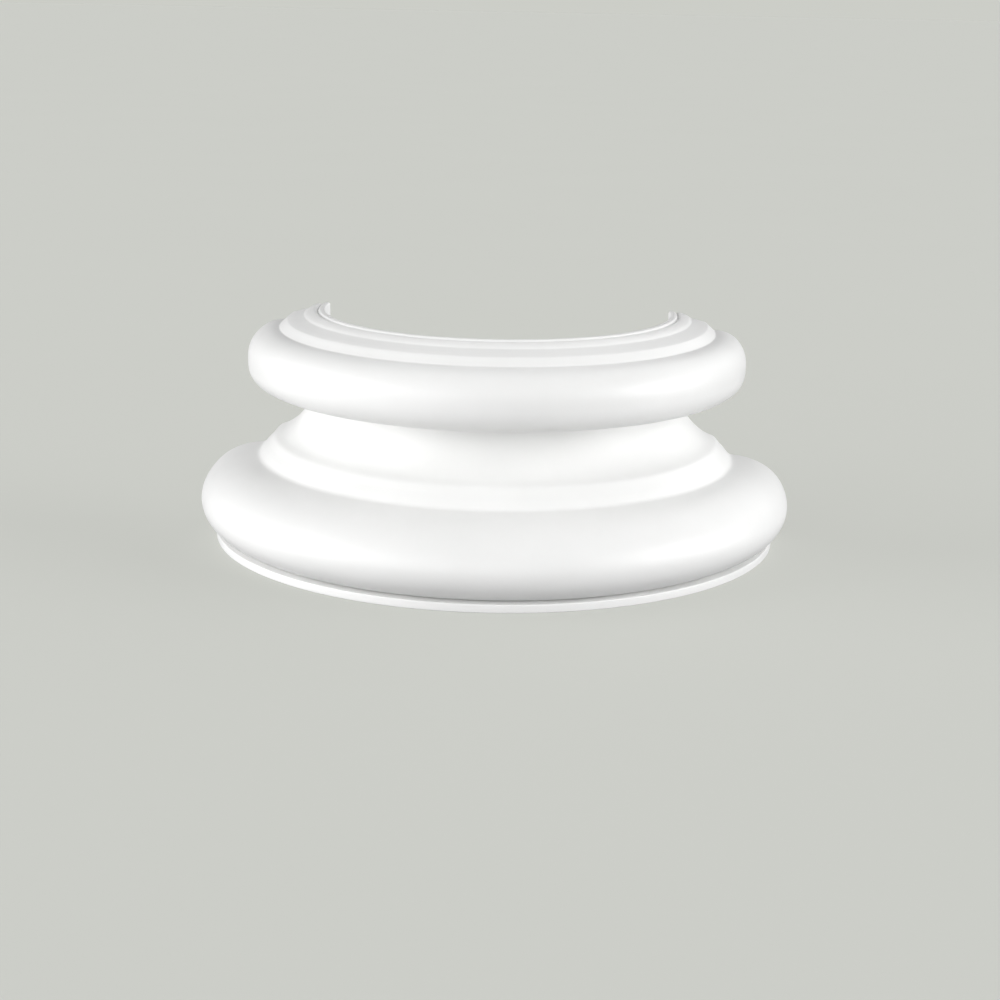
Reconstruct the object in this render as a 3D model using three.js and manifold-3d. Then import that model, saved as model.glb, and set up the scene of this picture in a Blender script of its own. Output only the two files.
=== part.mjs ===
// Half-round column base of the Attic kind, moulded in one piece for a half column against a wall.
// Millimetres, +Z up. The front faces -Y and the flat wall face looks to +Y.
// The origin is at the middle of the underside's bounding box.

import * as THREE from 'three';
import { mergeVertices } from 'three/addons/utils/BufferGeometryUtils.js';
import Module from 'manifold-3d';

// Shaft recess and wall
const SHAFT_RECESS_RADIUS = 107;
const WALL_OFFSET = 11;

// Heights of the mouldings, from the floor up
const LIP_HEIGHT = 5;
const LOWER_TORUS_BELLY_RISE = 19.3;
const LOWER_TORUS_SHOULDER_RISE = 26.6;
const LISTEL_HEIGHT = 5.9;
const TREAD_RISE = 0.3;
const SCOTIA_HEIGHT = 27;
const NECK_HEIGHT = 3;
const UPPER_TORUS_BELLY_RISE = 19;
const UPPER_TORUS_SHOULDER_RISE = 18.3;
const CINCTURE_HEIGHT = 4.8;
const LEDGE_RISE = 2.8;
const OVOLO_HEIGHT = 3;
const GROOVE_DEPTH = 1.5;
const RIM_RISE = 0.6;

// Widths below the neck, from the shaft recess outwards
const NECK_WALL = 7.5;
const SCOTIA_DEPTH = 23;
const TREAD_WIDTH = 1.4;
const LISTEL_BATTER = 4.1;
const LOWER_TORUS_PROJECTION = 36.5;
const LIP_SETBACK = 9;
const LIP_TREAD_WIDTH = 11;

// Widths above the neck, from the shaft recess outwards
const RIM_THICKNESS = 4.6;
const RIM_INNER_ROUNDING = 1;
const RIM_OUTER_ROUNDING = 2;
const GROOVE_WIDTH = 1.6;
const OVOLO_DEPTH = 7;
const LEDGE_WIDTH = 10.3;
const CINCTURE_BATTER = 5;
const UPPER_TORUS_PROJECTION = 19.5;
const SOFFIT_WIDTH = 6;

// Fullness of the curves: 2 is an ellipse, more is squarer, less is flatter
const LOWER_TORUS_FULLNESS = 1.95;
const UPPER_TORUS_FULLNESS = { below: 3, above: 2.2 };
const SCOTIA_FULLNESS = 1.5;
const OVOLO_FULLNESS = 1.4;
const ROUND = 2;

// Steps of the facets
const SEGMENTS_PER_TURN = 120;
const TORUS_STEPS = 9;
const SCOTIA_STEPS = 8;
const OVOLO_STEPS = 4;
const ROUNDING_STEPS = 2;

// Radii that follow from the widths
const neckRadius = SHAFT_RECESS_RADIUS + NECK_WALL;
const scotiaFootRadius = neckRadius + SCOTIA_DEPTH;
const upperListelTop = scotiaFootRadius + TREAD_WIDTH;
const upperListelFoot = upperListelTop + LISTEL_BATTER;
const lowerListelTop = upperListelFoot + TREAD_WIDTH;
const lowerListelFoot = lowerListelTop + LISTEL_BATTER;
const lowerTorusRadius = lowerListelFoot + LOWER_TORUS_PROJECTION;
const lipRadius = lowerTorusRadius - LIP_SETBACK;
const rimRadius = SHAFT_RECESS_RADIUS + RIM_THICKNESS;
const ovoloCrest = rimRadius + GROOVE_WIDTH;
const ovoloFoot = ovoloCrest + OVOLO_DEPTH;
const cinctureTop = ovoloFoot + LEDGE_WIDTH;
const cinctureFoot = cinctureTop + CINCTURE_BATTER;
const upperTorusRadius = cinctureFoot + UPPER_TORUS_PROJECTION;
const widestRadius = Math.max(lowerTorusRadius, upperTorusRadius);

// A quarter of a superellipse from a point, across and up, without the point itself.
// It starts level and ends upright, or the other way round.
function quarterCurve([radius, height], across, up, startsLevel, fullness, steps) {
  const points = [];
  for (let step = 1; step <= steps; step += 1) {
    const angle = (step / steps) * (Math.PI / 2);
    const quick = Math.sin(angle) ** (2 / fullness);
    const slow = step === steps ? 1 : 1 - Math.cos(angle) ** (2 / fullness);
    const acrossShare = startsLevel ? quick : slow;
    const upShare = startsLevel ? slow : quick;
    points.push([radius + across * acrossShare, height + up * upShare]);
  }
  return points;
}

// The outline is drawn as with a pen: each stroke starts where the last one ended.
class Outline {
  constructor(radius, height) {
    this.points = [[radius, height]];
  }

  get last() {
    return this.points[this.points.length - 1];
  }

  lineTo(radius, rise) {
    this.points.push([radius, this.last[1] + rise]);
    return this;
  }

  levelFirst(radius, rise, fullness, steps) {
    this.points.push(...quarterCurve(this.last, radius - this.last[0], rise, true, fullness, steps));
    return this;
  }

  uprightFirst(radius, rise, fullness, steps) {
    this.points.push(...quarterCurve(this.last, radius - this.last[0], rise, false, fullness, steps));
    return this;
  }
}

// The level underside, the lip and the lower torus
function drawLowerTorus(outline) {
  outline
    .lineTo(lipRadius, 0)
    .lineTo(lipRadius, LIP_HEIGHT)
    .lineTo(lipRadius - LIP_TREAD_WIDTH, 0)
    .levelFirst(lowerTorusRadius, LOWER_TORUS_BELLY_RISE, LOWER_TORUS_FULLNESS, TORUS_STEPS)
    .uprightFirst(lowerListelFoot, LOWER_TORUS_SHOULDER_RISE, LOWER_TORUS_FULLNESS, TORUS_STEPS);
}

// Two listels, one step above the other, and the scotia up to the neck
function drawScotia(outline) {
  outline
    .lineTo(lowerListelTop, LISTEL_HEIGHT)
    .lineTo(upperListelFoot, TREAD_RISE)
    .lineTo(upperListelTop, LISTEL_HEIGHT)
    .lineTo(scotiaFootRadius, TREAD_RISE)
    .levelFirst(neckRadius, SCOTIA_HEIGHT, SCOTIA_FULLNESS, SCOTIA_STEPS)
    .lineTo(neckRadius, NECK_HEIGHT)
    .lineTo(neckRadius + SOFFIT_WIDTH, 0);
}

function drawUpperTorus(outline) {
  const { below, above } = UPPER_TORUS_FULLNESS;
  outline
    .levelFirst(upperTorusRadius, UPPER_TORUS_BELLY_RISE, below, TORUS_STEPS)
    .uprightFirst(cinctureFoot, UPPER_TORUS_SHOULDER_RISE, above, TORUS_STEPS);
}

// Cincture, weathered ledge, ovolo, groove and the rim around the shaft
function drawTop(outline) {
  const rimSide = GROOVE_DEPTH + RIM_RISE - RIM_OUTER_ROUNDING;
  outline
    .lineTo(cinctureTop, CINCTURE_HEIGHT)
    .lineTo(ovoloFoot, LEDGE_RISE)
    .uprightFirst(ovoloCrest, OVOLO_HEIGHT, OVOLO_FULLNESS, OVOLO_STEPS)
    .lineTo(rimRadius, -GROOVE_DEPTH)
    .lineTo(rimRadius, rimSide)
    .uprightFirst(rimRadius - RIM_OUTER_ROUNDING, RIM_OUTER_ROUNDING, ROUND, ROUNDING_STEPS)
    .lineTo(SHAFT_RECESS_RADIUS + RIM_INNER_ROUNDING, 0)
    .levelFirst(SHAFT_RECESS_RADIUS, -RIM_INNER_ROUNDING, ROUND, ROUNDING_STEPS);
}

function profile() {
  const outline = new Outline(SHAFT_RECESS_RADIUS, 0);
  drawLowerTorus(outline);
  drawScotia(outline);
  drawUpperTorus(outline);
  drawTop(outline);
  const closed = [...outline.points, outline.points[0]];
  return closed.map(([radius, height]) => new THREE.Vector2(radius, height));
}

// The full ring of revolution, turned so that its axis is +Z
function fullRing() {
  const ring = new THREE.LatheGeometry(profile(), SEGMENTS_PER_TURN);
  return ring.rotateX(Math.PI / 2);
}

// Everything behind the wall face, as a block larger than the ring
function behindTheWall() {
  const side = 4 * widestRadius;
  return new THREE.BoxGeometry(side, side, side).translate(0, WALL_OFFSET + side / 2, 0);
}

function toSolid(wasm, geometry) {
  const bare = geometry.clone();
  bare.deleteAttribute('normal');
  bare.deleteAttribute('uv');
  const merged = mergeVertices(bare);
  const mesh = new wasm.Mesh({
    numProp: 3,
    vertProperties: new Float32Array(merged.attributes.position.array),
    triVerts: new Uint32Array(merged.index.array),
  });
  return new wasm.Manifold(mesh);
}

function toGeometry(solid) {
  const mesh = solid.getMesh();
  const geometry = new THREE.BufferGeometry();
  geometry.setAttribute('position', new THREE.BufferAttribute(mesh.vertProperties, 3));
  geometry.setIndex(new THREE.BufferAttribute(mesh.triVerts, 1));
  geometry.computeVertexNormals();
  return geometry;
}

function columnBase(wasm) {
  const halfRing = toSolid(wasm, fullRing()).subtract(toSolid(wasm, behindTheWall()));
  const whitePaint = new THREE.MeshStandardMaterial({ color: 0xf0f0ec, roughness: 0.4, metalness: 0 });
  const mesh = new THREE.Mesh(toGeometry(halfRing), whitePaint);
  mesh.name = 'column_base';
  mesh.position.y = (widestRadius - WALL_OFFSET) / 2;
  return mesh;
}

const wasm = await Module();
wasm.setup();

const part = new THREE.Group();
part.add(columnBase(wasm));

export default part;
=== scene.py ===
"""Half-round column base in satin white paint, on a plain pale floor in soft studio light.

The painted surface is one fine sweep of the moulding's outline around the shaft's axis.
It is cut off at the wall plane.
Sizes of the outline are in millimetres, as in the part's source. What reaches Blender is in metres.
"""

import math

import bpy
import numpy as np
from mathutils import Matrix, Vector


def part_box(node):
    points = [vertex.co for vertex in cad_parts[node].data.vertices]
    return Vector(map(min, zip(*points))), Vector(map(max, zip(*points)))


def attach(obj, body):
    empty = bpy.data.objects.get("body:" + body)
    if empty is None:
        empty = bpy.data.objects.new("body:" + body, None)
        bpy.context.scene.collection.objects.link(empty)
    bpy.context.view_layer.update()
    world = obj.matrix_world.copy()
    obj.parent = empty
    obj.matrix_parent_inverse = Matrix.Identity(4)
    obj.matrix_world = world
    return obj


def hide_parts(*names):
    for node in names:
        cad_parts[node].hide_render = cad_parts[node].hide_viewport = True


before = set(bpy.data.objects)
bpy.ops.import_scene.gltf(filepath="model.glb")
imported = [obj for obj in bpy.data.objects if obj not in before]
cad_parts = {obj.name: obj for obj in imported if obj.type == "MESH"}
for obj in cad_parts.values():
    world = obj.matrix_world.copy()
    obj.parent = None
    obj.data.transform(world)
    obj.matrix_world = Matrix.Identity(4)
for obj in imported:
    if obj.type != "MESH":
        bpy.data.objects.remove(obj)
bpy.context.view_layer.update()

MM = 0.001
NODE = "column_base"
BODY = "root"

# Heights of the mouldings, from the floor up
LIP_HEIGHT = 5
LOWER_TORUS_BELLY_RISE = 19.3
LOWER_TORUS_SHOULDER_RISE = 26.6
LISTEL_HEIGHT = 5.9
TREAD_RISE = 0.3
SCOTIA_HEIGHT = 27
NECK_HEIGHT = 3
UPPER_TORUS_BELLY_RISE = 19
UPPER_TORUS_SHOULDER_RISE = 18.3
CINCTURE_HEIGHT = 4.8
LEDGE_RISE = 2.8
OVOLO_HEIGHT = 3
GROOVE_DEPTH = 1.5
RIM_RISE = 0.6

# Widths below the neck, from the lower torus inwards
LIP_SETBACK = 9
LIP_TREAD_WIDTH = 11
LOWER_TORUS_PROJECTION = 36.5
LISTEL_BATTER = 4.1
TREAD_WIDTH = 1.4
SCOTIA_DEPTH = 23
NECK_WALL = 7.5

# Widths above the neck, from the shaft recess outwards
RIM_THICKNESS = 4.6
RIM_INNER_ROUNDING = 1
RIM_OUTER_ROUNDING = 2
GROOVE_WIDTH = 1.6
OVOLO_DEPTH = 7
LEDGE_WIDTH = 10.3
CINCTURE_BATTER = 5
UPPER_TORUS_PROJECTION = 19.5
SOFFIT_WIDTH = 6

# Fullness of the curves: 2 is an ellipse, more is squarer, less is flatter
LOWER_TORUS_FULLNESS = 1.95
UPPER_TORUS_FULLNESS = {"below": 3, "above": 2.2}
SCOTIA_FULLNESS = 1.5
OVOLO_FULLNESS = 1.4
ROUND = 2

# Spread of the rounding that the paint gives an arris or a crease, everywhere and at the listels.
# The last is the height over which the one fades into the other.
SOFTNESS = 0.5
LISTEL_SOFTNESS = 2
LISTEL_FADE = 4

# The running average that does the rounding reaches this many spreads out
AVERAGE_REACH = 3

# Fineness of the sweep
CURVE_STEPS = 60
SAMPLE_SPACING = 0.1
LARGEST_TURN = math.radians(5)
LARGEST_STEP = 4
COLUMNS = 270

# The small round at the wall
WALL_ARRIS = 0.35
WALL_ARRIS_STEPS = 3

# A face is part of the underside where it looks down this steeply and lies this near the floor
UNDERSIDE_NORMAL = -0.99
UNDERSIDE_REACH = 1

# The parts of a noise's range over which its colours and its roughness change
COLOUR_PLACES = (0.35, 0.65)
ROUGHNESS_RANGE = (0.3, 0.7)

# Camera at the photo's viewing angle, its lens and sensor in millimetres and its places in metres
VIEW_ELEVATION = math.radians(14.62)
VIEW_AZIMUTH = math.radians(2.45)
VIEW_ROLL = math.radians(1.08)
VIEW_DISTANCE = 1.224
LENS = 68.9
SENSOR = 36
AIM_ACROSS = 0.0035
AIM_HEIGHT = 0.019

# Stage
FLOOR_REACH = 60
FLOOR_SHADE = (0.605, 0.615, 0.575)
FLOOR_GLOW = 0.7
SUN_SPREAD = math.radians(50)

# The surround's two strengths blend this far above and below the horizon, on a sphere of radius 1
HORIZON_BLEND = 0.05


class Outline:
    """The section's outline, drawn as with a pen: each stroke starts where the last one ended."""

    def __init__(self, radius, height):
        self.points = [(radius, height)]

    def line_to(self, radius, rise):
        self.points.append((radius, self.points[-1][1] + rise))

    def quarter(self, radius, rise, starts_level, fullness):
        start_radius, start_height = self.points[-1]
        for step in range(1, CURVE_STEPS + 1):
            angle = step / CURVE_STEPS * math.pi / 2
            quick = math.sin(angle) ** (2 / fullness)
            slow = 1 - max(math.cos(angle), 0) ** (2 / fullness)
            across, up = (quick, slow) if starts_level else (slow, quick)
            self.points.append((start_radius + (radius - start_radius) * across, start_height + rise * up))

    def level_first(self, radius, rise, fullness):
        self.quarter(radius, rise, True, fullness)

    def upright_first(self, radius, rise, fullness):
        self.quarter(radius, rise, False, fullness)


class Radii:
    """The radii that follow from the widths: in from the widest one, then out from the shaft recess."""

    def __init__(self, widest):
        self.lower_torus = widest
        self.lip = widest - LIP_SETBACK
        self.lower_listel_foot = widest - LOWER_TORUS_PROJECTION
        self.lower_listel_top = self.lower_listel_foot - LISTEL_BATTER
        self.upper_listel_foot = self.lower_listel_top - TREAD_WIDTH
        self.upper_listel_top = self.upper_listel_foot - LISTEL_BATTER
        self.scotia_foot = self.upper_listel_top - TREAD_WIDTH
        self.neck = self.scotia_foot - SCOTIA_DEPTH
        self.recess = self.neck - NECK_WALL
        self.rim = self.recess + RIM_THICKNESS
        self.ovolo_crest = self.rim + GROOVE_WIDTH
        self.ovolo_foot = self.ovolo_crest + OVOLO_DEPTH
        self.cincture_top = self.ovolo_foot + LEDGE_WIDTH
        self.cincture_foot = self.cincture_top + CINCTURE_BATTER
        self.upper_torus = self.cincture_foot + UPPER_TORUS_PROJECTION


def draw_lower_torus(outline, radii):
    outline.line_to(radii.lip, 0)
    outline.line_to(radii.lip, LIP_HEIGHT)
    outline.line_to(radii.lip - LIP_TREAD_WIDTH, 0)
    outline.level_first(radii.lower_torus, LOWER_TORUS_BELLY_RISE, LOWER_TORUS_FULLNESS)
    outline.upright_first(radii.lower_listel_foot, LOWER_TORUS_SHOULDER_RISE, LOWER_TORUS_FULLNESS)


def draw_scotia(outline, radii):
    outline.line_to(radii.lower_listel_top, LISTEL_HEIGHT)
    outline.line_to(radii.upper_listel_foot, TREAD_RISE)
    outline.line_to(radii.upper_listel_top, LISTEL_HEIGHT)
    outline.line_to(radii.scotia_foot, TREAD_RISE)
    outline.level_first(radii.neck, SCOTIA_HEIGHT, SCOTIA_FULLNESS)
    outline.line_to(radii.neck, NECK_HEIGHT)
    outline.line_to(radii.neck + SOFFIT_WIDTH, 0)


def draw_upper_torus(outline, radii):
    outline.level_first(radii.upper_torus, UPPER_TORUS_BELLY_RISE, UPPER_TORUS_FULLNESS["below"])
    outline.upright_first(radii.cincture_foot, UPPER_TORUS_SHOULDER_RISE, UPPER_TORUS_FULLNESS["above"])


def draw_top(outline, radii):
    outline.line_to(radii.cincture_top, CINCTURE_HEIGHT)
    outline.line_to(radii.ovolo_foot, LEDGE_RISE)
    outline.upright_first(radii.ovolo_crest, OVOLO_HEIGHT, OVOLO_FULLNESS)
    outline.line_to(radii.rim, -GROOVE_DEPTH)
    outline.line_to(radii.rim, GROOVE_DEPTH + RIM_RISE - RIM_OUTER_ROUNDING)
    outline.upright_first(radii.rim - RIM_OUTER_ROUNDING, RIM_OUTER_ROUNDING, ROUND)
    outline.line_to(radii.recess + RIM_INNER_ROUNDING, 0)
    outline.level_first(radii.recess, -RIM_INNER_ROUNDING, ROUND)


def moulding_outline(radii):
    """The closed section, without a last point that repeats the first."""
    outline = Outline(radii.recess, 0)
    draw_lower_torus(outline, radii)
    draw_scotia(outline, radii)
    draw_upper_torus(outline, radii)
    draw_top(outline, radii)
    return np.array(outline.points)


def evenly_sampled(points, spacing):
    closed = np.vstack([points, points[:1]])
    lengths = np.hypot(*np.diff(closed, axis=0).T)
    along = np.concatenate([[0], np.cumsum(lengths)])
    count = int(round(along[-1] / spacing))
    stops = np.arange(count) * along[-1] / count
    return np.column_stack([np.interp(stops, along, closed[:, axis]) for axis in (0, 1)])


def softened(points, spacing, softness):
    """Rounds every arris and crease by a running average, softness being its spread."""
    reach = int(math.ceil(AVERAGE_REACH * softness / spacing))
    offsets = np.arange(-reach, reach + 1)
    weights = np.exp(-0.5 * (offsets * spacing / softness) ** 2)
    weights /= weights.sum()
    return sum(weight * np.roll(points, -offset, axis=0) for offset, weight in zip(offsets, weights))


def listel_share(heights):
    """1 at the listels and their creases, falling to 0 just below and above them."""
    foot = LIP_HEIGHT + LOWER_TORUS_BELLY_RISE + LOWER_TORUS_SHOULDER_RISE
    top = foot + 2 * (LISTEL_HEIGHT + TREAD_RISE)
    outside = np.maximum(foot - heights, heights - top)
    return np.clip(1 - outside / LISTEL_FADE, 0, 1)


def thinned(points):
    """Keeps points where the outline has turned or run on far enough."""
    ahead = np.roll(points, -1, axis=0) - points
    heading = np.arctan2(ahead[:, 1], ahead[:, 0])
    turns = np.abs((np.diff(heading, append=heading[:1]) + math.pi) % (2 * math.pi) - math.pi)
    lengths = np.hypot(*ahead.T)
    kept = [0]
    turned = run = 0.0
    for index in range(1, len(points)):
        turned += turns[index - 1]
        run += lengths[index - 1]
        if turned >= LARGEST_TURN or run >= LARGEST_STEP:
            kept.append(index)
            turned = run = 0.0
    return points[kept]


def painted_section(radii):
    """The outline as the paint leaves it, every arris and crease a little rounded."""
    dense = evenly_sampled(moulding_outline(radii), SAMPLE_SPACING)
    crisp = softened(dense, SAMPLE_SPACING, SOFTNESS)
    soft = softened(dense, SAMPLE_SPACING, LISTEL_SOFTNESS)
    share = listel_share(dense[:, 1])[:, None]
    return thinned(crisp + share * (soft - crisp))


def inward_normals(points):
    tangent = np.roll(points, -1, axis=0) - np.roll(points, 1, axis=0)
    tangent /= np.hypot(*tangent.T)[:, None]
    return np.column_stack([-tangent[:, 1], tangent[:, 0]])


def wall_arris():
    """Each step of the small round at the wall, as its distance before the wall and its inset.

    The step at the wall comes first.
    """
    steps = []
    for step in range(WALL_ARRIS_STEPS):
        angle = step / WALL_ARRIS_STEPS * math.pi / 2
        steps.append((WALL_ARRIS * (1 - math.cos(angle)), WALL_ARRIS * (1 - math.sin(angle))))
    return steps


def sweep_columns():
    """Each column as its share of the way round, its distance before the wall plane and its inset."""
    right_end = [(0.0, before, inset) for before, inset in wall_arris()]
    middle = [(column / COLUMNS, WALL_ARRIS, 0.0) for column in range(COLUMNS + 1)]
    left_end = [(1.0, before, inset) for before, inset in reversed(wall_arris())]
    return right_end + middle + left_end


def swept_vertices(section, wall_y, wall_offset):
    """The section swept round the shaft's axis, every column ending at its distance before the wall."""
    inward = inward_normals(section)
    columns = []
    for share, before, inset in sweep_columns():
        radius, height = (section + inset * inward).T
        beyond = np.arcsin((wall_offset - before) / radius)
        angle = -beyond + share * (math.pi + 2 * beyond)
        depth = wall_y - wall_offset - radius * np.sin(angle)
        columns.append(np.column_stack([radius * np.cos(angle), depth, height]))
    return np.array(columns) * MM


def sweep_faces(columns, around):
    faces = []
    for column in range(columns - 1):
        here = column * around
        beside = here + around
        for point in range(around):
            following = (point + 1) % around
            faces.append((here + point, here + following, beside + following, beside + point))
    return faces


def end_faces(columns, around):
    first = (columns - 1) * around
    return [tuple(reversed(range(around))), tuple(range(first, first + around))]


def is_underside(polygon):
    return polygon.normal.z < UNDERSIDE_NORMAL and polygon.center.z < UNDERSIDE_REACH * MM


def column_base_piece():
    low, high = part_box(NODE)
    widest = (high.x - low.x) / 2 / MM
    wall_offset = (high.y - low.y) / MM - widest
    section = painted_section(Radii(widest))
    grid = swept_vertices(section, high.y / MM, wall_offset)
    columns, around = grid.shape[:2]
    mesh = bpy.data.meshes.new(NODE + "_painted")
    ends = end_faces(columns, around)
    faces = sweep_faces(columns, around) + ends
    mesh.from_pydata(grid.reshape(-1, 3).tolist(), [], faces)
    mesh.update()
    wall_faces = np.zeros(len(faces), dtype=bool)
    wall_faces[-len(ends):] = True
    mesh.polygons.foreach_set("use_smooth", ~wall_faces)
    mesh.materials.append(satin_paint())
    mesh.materials.append(bare_casting())
    underside = np.array([is_underside(polygon) for polygon in mesh.polygons])
    mesh.polygons.foreach_set("material_index", (wall_faces | underside).astype(np.int32))
    piece = bpy.data.objects.new("painted_column_base", mesh)
    bpy.context.scene.collection.objects.link(piece)
    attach(piece, BODY)
    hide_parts(NODE)
    return piece


def ranged(tree, value, source, target):
    """The value carried over from one range to another, and kept within it."""
    node = tree.nodes.new("ShaderNodeMapRange")
    for name, bound in zip(("From Min", "From Max", "To Min", "To Max"), (*source, *target)):
        node.inputs[name].default_value = bound
    tree.links.new(value, node.inputs["Value"])
    return node.outputs["Result"]


class Surface:
    """A material under construction: its Principled shader and the nodes that feed it."""

    def __init__(self, name):
        self.material = bpy.data.materials.new(name)
        self.material.use_nodes = True
        self.tree = self.material.node_tree
        self.shader = self.tree.nodes["Principled BSDF"]
        self.place = self.tree.nodes.new("ShaderNodeTexCoord").outputs["Object"]

    def noise(self, scale, detail):
        """Cloudy noise of values around a half, scale being its cells to the metre."""
        node = self.tree.nodes.new("ShaderNodeTexNoise")
        node.inputs["Scale"].default_value = scale
        node.inputs["Detail"].default_value = detail
        self.tree.links.new(self.place, node.inputs["Vector"])
        return node.outputs["Fac"]

    def pores(self, scale, size):
        """1 between pores and 0 at their middles, size being their share of a cell."""
        cells = self.tree.nodes.new("ShaderNodeTexVoronoi")
        cells.inputs["Scale"].default_value = scale
        self.tree.links.new(self.place, cells.inputs["Vector"])
        return ranged(self.tree, cells.outputs["Distance"], (0, size), (0, 1))

    def colour_between(self, value, first, second):
        ramp = self.tree.nodes.new("ShaderNodeValToRGB")
        for element, place, colour in zip(ramp.color_ramp.elements, COLOUR_PLACES, (first, second)):
            element.position = place
            element.color = (*colour, 1)
        self.tree.links.new(value, ramp.inputs["Fac"])
        self.tree.links.new(ramp.outputs["Color"], self.shader.inputs["Base Color"])

    def roughness_between(self, value, low, high):
        roughness = ranged(self.tree, value, ROUGHNESS_RANGE, (low, high))
        self.tree.links.new(roughness, self.shader.inputs["Roughness"])

    def relief(self, *layers):
        """Bumps in layers of a height value and its depth in metres, from the widest to the finest."""
        normal = None
        for height, depth in layers:
            bump = self.tree.nodes.new("ShaderNodeBump")
            bump.inputs["Distance"].default_value = depth
            self.tree.links.new(height, bump.inputs["Height"])
            if normal is not None:
                self.tree.links.new(normal, bump.inputs["Normal"])
            normal = bump.outputs["Normal"]
        self.tree.links.new(normal, self.shader.inputs["Normal"])


def satin_paint():
    """White factory primer: nearly even, with a faint roll and the fine orange peel of spraying."""
    paint = Surface("satin_white_paint")
    paint.colour_between(paint.noise(scale=16, detail=4), (0.862, 0.864, 0.856), (0.888, 0.889, 0.882))
    paint.roughness_between(paint.noise(scale=70, detail=4), 0.36, 0.46)
    paint.relief((paint.noise(scale=22, detail=2), 0.0006), (paint.noise(scale=650, detail=3), 0.00003))
    return paint.material


def bare_casting():
    """Unpainted faces against wall and floor: matt, a little creamier, with ripples and fine open pores."""
    casting = Surface("bare_cast_face")
    casting.colour_between(casting.noise(scale=35, detail=6), (0.77, 0.76, 0.71), (0.83, 0.82, 0.78))
    casting.roughness_between(casting.noise(scale=150, detail=4), 0.7, 0.85)
    casting.shader.inputs["Specular IOR Level"].default_value = 0.3
    casting.relief((casting.noise(scale=60, detail=4), 0.0005), (casting.pores(scale=420, size=0.22), 0.0003))
    return casting.material


def floor_paint():
    """Matt backdrop sheet, all but even. A faint glow of its own keeps the shadows on it faint."""
    sheet = Surface("pale_floor")
    sheet.colour_between(sheet.noise(scale=3, detail=5), (0.22, 0.224, 0.213), (0.223, 0.227, 0.216))
    sheet.shader.inputs["Roughness"].default_value = 1
    sheet.shader.inputs["Specular IOR Level"].default_value = 0
    sheet.shader.inputs["Emission Color"].default_value = (*FLOOR_SHADE, 1)
    sheet.shader.inputs["Emission Strength"].default_value = FLOOR_GLOW
    sheet.material.cycles.emission_sampling = "NONE"
    return sheet.material


def make_floor():
    """A wide floor. It lights nothing and shows in no reflection, because the photo's underside is dark."""
    mesh = bpy.data.meshes.new("floor")
    corners = [(-1, -1), (1, -1), (1, 1), (-1, 1)]
    mesh.from_pydata([(FLOOR_REACH * x, FLOOR_REACH * y, 0) for x, y in corners], [], [(0, 1, 2, 3)])
    mesh.materials.append(floor_paint())
    floor = bpy.data.objects.new("floor", mesh)
    bpy.context.scene.collection.objects.link(floor)
    floor.visible_diffuse = False
    floor.visible_glossy = False


def direction(azimuth, elevation):
    """Unit vector towards a place seen from the part, azimuth 0 being its front and 90 degrees its right."""
    level = math.cos(elevation)
    return Vector((math.sin(azimuth) * level, -math.cos(azimuth) * level, math.sin(elevation)))


def make_sun(name, azimuth, elevation, strength):
    """A broad studio light, far away. At strength 1 it lights a white face turned to it to full white."""
    data = bpy.data.lights.new(name, "SUN")
    data.energy = math.pi * strength
    data.angle = SUN_SPREAD
    sun = bpy.data.objects.new(name, data)
    bpy.context.scene.collection.objects.link(sun)
    towards = direction(math.radians(azimuth), math.radians(elevation))
    sun.rotation_euler = towards.to_track_quat("Z", "Y").to_euler()


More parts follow.
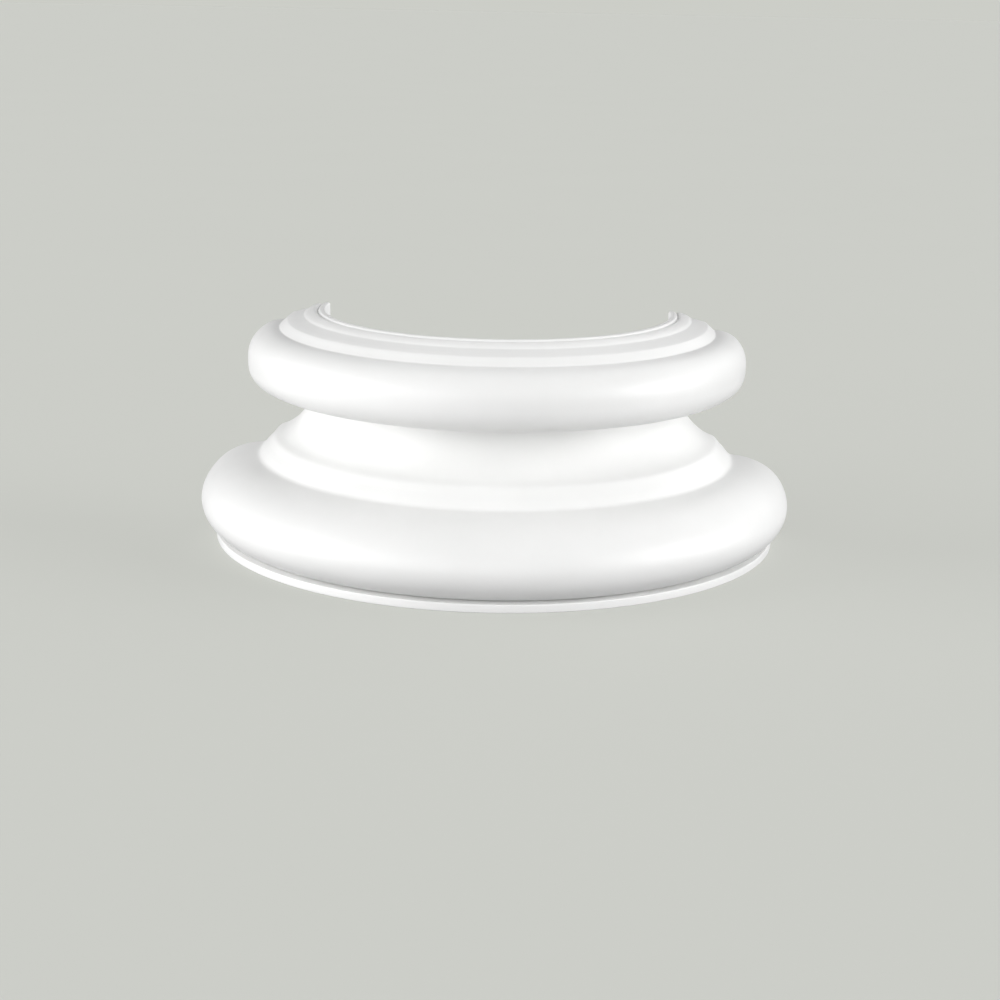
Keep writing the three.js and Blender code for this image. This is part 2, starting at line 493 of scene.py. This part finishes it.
def make_surroundings(above, below):
    """White light from all round, of one strength above the floor's level and another below it.

    Past the floor's edge the picture goes on in the floor's own shade.
    """
    world = bpy.data.worlds.new("studio")
    bpy.context.scene.world = world
    world.use_nodes = True
    tree = world.node_tree
    height = tree.nodes.new("ShaderNodeSeparateXYZ")
    tree.links.new(tree.nodes.new("ShaderNodeTexCoord").outputs["Generated"], height.inputs["Vector"])
    strength = ranged(tree, height.outputs["Z"], (-HORIZON_BLEND, HORIZON_BLEND), (below, above))
    light = tree.nodes["Background"]
    light.inputs["Color"].default_value = (1, 1, 1, 1)
    tree.links.new(strength, light.inputs["Strength"])
    backdrop = tree.nodes.new("ShaderNodeBackground")
    backdrop.inputs["Color"].default_value = (*FLOOR_SHADE, 1)
    chooser = tree.nodes.new("ShaderNodeMixShader")
    seen = tree.nodes.new("ShaderNodeLightPath").outputs["Is Camera Ray"]
    share, when_lighting, when_seen = chooser.inputs
    tree.links.new(seen, share)
    tree.links.new(light.outputs["Background"], when_lighting)
    tree.links.new(backdrop.outputs["Background"], when_seen)
    tree.links.new(chooser.outputs["Shader"], tree.nodes["World Output"].inputs["Surface"])


def make_camera():
    low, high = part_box(NODE)
    shaft_axis = Vector((0, low.y + (high.x - low.x) / 2, 0))
    camera = bpy.data.objects.new("camera", bpy.data.cameras.new("camera"))
    bpy.context.scene.collection.objects.link(camera)
    camera.data.sensor_width = SENSOR
    camera.data.lens = LENS
    back = direction(VIEW_AZIMUTH, VIEW_ELEVATION)
    level = Vector((math.cos(VIEW_AZIMUTH), math.sin(VIEW_AZIMUTH), 0))
    upright = back.cross(level)
    right = math.cos(VIEW_ROLL) * level + math.sin(VIEW_ROLL) * upright
    up = math.cos(VIEW_ROLL) * upright - math.sin(VIEW_ROLL) * level
    aim = shaft_axis + AIM_ACROSS * level + Vector((0, 0, AIM_HEIGHT))
    turn = Matrix((right, up, back)).transposed().to_4x4()
    camera.matrix_world = Matrix.Translation(aim + VIEW_DISTANCE * back) @ turn
    bpy.context.scene.camera = camera


column_base_piece()
make_camera()
make_floor()
make_sun("left_softbox", azimuth=-80, elevation=8, strength=0.87)
make_sun("left_front_softbox", azimuth=-45, elevation=8, strength=0.5)
make_sun("front_softbox", azimuth=0, elevation=8, strength=0.2)
make_sun("right_softbox", azimuth=80, elevation=8, strength=1.1)
make_sun("back_softbox", azimuth=135, elevation=35, strength=0.2)
make_surroundings(above=0.23, below=0.2)
bpy.context.scene.view_settings.view_transform = "Standard"
